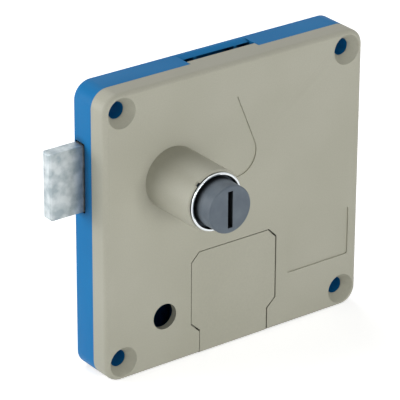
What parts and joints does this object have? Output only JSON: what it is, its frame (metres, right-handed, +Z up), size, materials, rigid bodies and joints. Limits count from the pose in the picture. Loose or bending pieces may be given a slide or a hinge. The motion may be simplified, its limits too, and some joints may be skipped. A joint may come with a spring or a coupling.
{
  "type": "coin operated lock",
  "caption": "Coin return locker lock: square moulded case with a key cylinder in a long boss, a sliding bolt, a coin slot on top and a coin lever inside.",
  "frame": {"origin": "middle of the four fixing holes, on the front face that lies against the door", "axes": "+X to the right seen from the front, +Y from the door to the lock's rear, +Z up; the bolt leaves along -X"},
  "size_m": [0.1157, 0.0477, 0.1],
  "materials": {
    "blue_plastic": "fine moulded texture, satin",
    "grey_plastic": "fine moulded texture, satin",
    "chromed_zinc": "polished chrome",
    "dark_zinc": "dark grey satin coat",
    "bolt_steel": "bright zinc plate with mottled passivation",
    "zinc_plated_steel": "bright zinc plate",
    "bare_zinc": "die-cast, as cast",
    "spring_steel": "plain drawn wire and strip"
  },
  "bodies": {
    "case": {"rear_case": "blue_plastic", "front_cover": "grey_plastic", "coin_hatch": "grey_plastic", "cylinder_housing": "chromed_zinc", "cylinder_nut": "zinc_plated_steel", "bolt_strap": "zinc_plated_steel", "strap_screws": "zinc_plated_steel", "gate_pin": "zinc_plated_steel", "gate_clip": "spring_steel", "lever_pin": "zinc_plated_steel", "lever_clip": "spring_steel", "lever_spring": "spring_steel", "coin_guide": "blue_plastic", "guide_screws": "zinc_plated_steel", "coin_peg": "zinc_plated_steel", "return_scoop": "blue_plastic", "case_screws": "zinc_plated_steel"},
    "plug": {"key_plug": "dark_zinc", "drive_crank": "bare_zinc", "crank_screw": "zinc_plated_steel"},
    "bolt": {"lock_bolt": "bolt_steel"},
    "gate": {"gate_lever": "zinc_plated_steel"},
    "lever": {"coin_lever": "zinc_plated_steel"}
  },
  "joints": [
    {"name": "plug_turn", "type": "hinge", "parent": "case", "child": "plug", "pos_m": [-0.0253, 0, 0.0168], "axis": [0, 1, 0], "range_deg": [0, 90]},
    {"name": "bolt_slide", "type": "slide", "parent": "case", "child": "bolt", "axis": [1, 0, 0], "range_m": [0, 0.0127]},
    {"name": "gate_swing", "type": "hinge", "parent": "case", "child": "gate", "pos_m": [-0.025, 0, -0.006], "axis": [0, 1, 0], "range_deg": [0, 50.09]},
    {"name": "coin_lever_swing", "type": "hinge", "parent": "case", "child": "lever", "pos_m": [0.022, 0, -0.022], "axis": [0, 1, 0], "range_deg": [-6, 0], "stiffness_Nm_per_rad": 0.0015, "springref_deg": -20.05}
  ],
  "couplings": [
    {"joint": "plug_turn", "follows": "bolt_slide", "rad_per_m": 123.68},
    {"joint": "gate_swing", "follows": "bolt_slide", "rad_per_m": 68.83}
  ]
}
